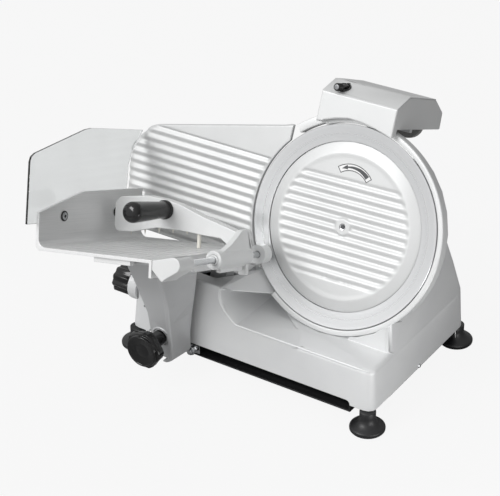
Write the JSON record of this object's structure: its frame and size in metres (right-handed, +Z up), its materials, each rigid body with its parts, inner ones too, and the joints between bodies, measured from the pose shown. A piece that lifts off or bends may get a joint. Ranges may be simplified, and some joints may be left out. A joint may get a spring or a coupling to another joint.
{
  "type": "meat slicer",
  "caption": "Gravity-feed slicer: tilted round blade, ribbed gauge plate, sliding tray with swinging pusher, clear side guard, sharpener hood, cast base on rubber feet.",
  "frame": {"origin": "centre of the outline's footprint, on the bench under the feet", "axes": "+X along the carriage travel to the right, +Y away from the person who uses it, +Z up"},
  "size_m": [0.4616, 0.4066, 0.366],
  "materials": {
    "casting": "satin silver-grey cast aluminium",
    "white_casting": "light enamelled aluminium",
    "aluminium": "anodised, polished ribs",
    "blade_steel": "ground and polished",
    "tray_steel": "brushed",
    "steel": "turned",
    "chrome": "polished",
    "black_plastic": "black, slightly glossy",
    "rubber": "black",
    "nylon": "ivory nylon",
    "acrylic": "clear acrylic sheet",
    "black_sheet": "black",
    "stone": "grey abrasive",
    "brass": "bearing bush",
    "green": "green",
    "red": "red"
  },
  "bodies": {
    "base": {"base_housing": "casting", "foot_left_front": "rubber", "foot_left_rear": "rubber", "foot_right_front": "rubber", "foot_right_rear": "rubber", "bottom_plate": "black_sheet", "rod_channel": "black_sheet", "slide_rod": "chrome", "rod_cap_left": "casting", "rod_cap_right": "casting", "guide_bar": "steel", "dial_collar": "nylon", "switch_panel": "black_plastic", "cord_gland": "rubber", "ring_guard": "casting", "bearing_front": "chrome", "bearing_rear": "chrome", "motor_body": "black_sheet", "drive_belt": "rubber", "blade_cover": "aluminium", "tie_rod": "chrome"},
    "carriage": {"slider_block": "casting", "guide_shoe": "chrome", "lock_stud": "chrome", "carriage_arm": "casting", "tray": "tray_steel", "acrylic_guard": "acrylic", "guard_bolt_front": "black_plastic", "guard_bolt_rear": "black_plastic", "rod_bracket_front": "white_casting", "rod_bracket_rear": "white_casting", "guide_rod": "chrome"},
    "roller_body": {"roller": "nylon"},
    "lock_knob_body": {"lock_knob": "black_plastic"},
    "pusher_slide_body": {"pusher_bush": "brass"},
    "pusher_body": {"pusher": "white_casting", "pusher_handle": "black_plastic", "pusher_spikes": "steel", "rest_peg": "nylon"},
    "dial_body": {"thickness_dial": "black_plastic", "dial_shaft": "steel"},
    "gauge_body": {"gauge_plate": "aluminium", "gauge_carrier": "casting", "gauge_rod": "steel"},
    "blade_body": {"blade": "blade_steel", "blade_shaft": "steel", "blade_pulley": "steel"},
    "motor_pulley_body": {"motor_pulley": "steel"},
    "release_knob_body": {"release_knob": "black_plastic"},
    "sharpener_body": {"sharpener_hood": "casting", "sharpener_frame": "casting", "sharpener_post": "chrome"},
    "sharpener_pin_body": {"sharpener_pin": "black_plastic"},
    "grind_spindle_body": {"grind_spindle": "steel"},
    "grinding_stone_body": {"grinding_stone": "stone"},
    "deburr_spindle_body": {"deburr_spindle": "steel"},
    "deburring_stone_body": {"deburring_stone": "stone"},
    "on_button_body": {"on_button": "green"},
    "off_button_body": {"off_button": "red"}
  },
  "joints": [
    {"name": "carriage_slide", "type": "slide", "parent": "base", "child": "carriage", "axis": [1, 0, 0], "range_m": [0, 0.205]},
    {"name": "roller_spin", "type": "hinge", "parent": "carriage", "child": "roller_body", "pos_m": [-0.08219, -0.00997, 0.044], "axis": [0, 1, 0], "continuous": true},
    {"name": "lock_knob_turn", "type": "hinge", "parent": "carriage", "child": "lock_knob_body", "pos_m": [-0.08319, -0.11497, 0.0545], "axis": [0, -1, 0], "range_deg": [0, 720]},
    {"name": "pusher_slide", "type": "slide", "parent": "carriage", "child": "pusher_slide_body", "axis": [0, 0.9255, -0.3786], "range_m": [-0.052, 0.024]},
    {"name": "pusher_swing", "type": "hinge", "parent": "pusher_slide_body", "child": "pusher_body", "pos_m": [0.00907, -0.07646, 0.18667], "axis": [0, 0.9255, -0.3786], "range_deg": [0, 100]},
    {"name": "dial_turn", "type": "hinge", "parent": "base", "child": "dial_body", "pos_m": [-0.17219, -0.04498, 0.08], "axis": [-1, 0, 0], "range_deg": [0, 300]},
    {"name": "gauge_slide", "type": "slide", "parent": "base", "child": "gauge_body", "axis": [0, 0.9255, -0.3786], "range_m": [0, 0.012]},
    {"name": "blade_spin", "type": "hinge", "parent": "base", "child": "blade_body", "pos_m": [0.09781, 0.03503, 0.203], "axis": [0, -0.9255, 0.3786], "continuous": true},
    {"name": "motor_spin", "type": "hinge", "parent": "base", "child": "motor_pulley_body", "pos_m": [0.09781, 0.04815, 0.10039], "axis": [0, -0.9255, 0.3786], "continuous": true},
    {"name": "release_knob_turn", "type": "hinge", "parent": "base", "child": "release_knob_body", "pos_m": [0.09781, 0.15905, 0.15226], "axis": [0, 0.9255, -0.3786], "range_deg": [0, 720]},
    {"name": "sharpener_lift", "type": "slide", "parent": "base", "child": "sharpener_body", "axis": [0, 0.3786, 0.9255], "range_m": [0, 0.03]},
    {"name": "sharpener_pin_press", "type": "slide", "parent": "sharpener_body", "child": "sharpener_pin_body", "axis": [0, 0.9255, -0.3786], "range_m": [0, 0.004], "stiffness_N_per_m": 300},
    {"name": "grind_press", "type": "slide", "parent": "sharpener_body", "child": "grind_spindle_body", "axis": [0, 0.9255, -0.3786], "range_m": [0, 0.0025], "stiffness_N_per_m": 600},
    {"name": "grind_stone_spin", "type": "hinge", "parent": "grind_spindle_body", "child": "grinding_stone_body", "pos_m": [0.11731, 0.15834, 0.29841], "axis": [0, 0.9255, -0.3786], "continuous": true},
    {"name": "deburr_press", "type": "slide", "parent": "sharpener_body", "child": "deburr_spindle_body", "axis": [0, -0.9255, 0.3786], "range_m": [0, 0.0025], "stiffness_N_per_m": 600},
    {"name": "deburr_stone_spin", "type": "hinge", "parent": "deburr_spindle_body", "child": "deburring_stone_body", "pos_m": [0.07581, 0.176, 0.2901], "axis": [0, 0.9255, -0.3786], "continuous": true},
    {"name": "on_button_press", "type": "slide", "parent": "base", "child": "on_button_body", "axis": [1, 0, 0], "range_m": [0, 0.003], "stiffness_N_per_m": 400},
    {"name": "off_button_press", "type": "slide", "parent": "base", "child": "off_button_body", "axis": [1, 0, 0], "range_m": [0, 0.003], "stiffness_N_per_m": 400}
  ],
  "couplings": [
    {"joint": "roller_spin", "follows": "carriage_slide", "rad_per_m": 111.11},
    {"joint": "dial_turn", "follows": "gauge_slide", "rad_per_m": 436.3},
    {"joint": "motor_spin", "follows": "blade_spin", "ratio": 2.75}
  ]
}
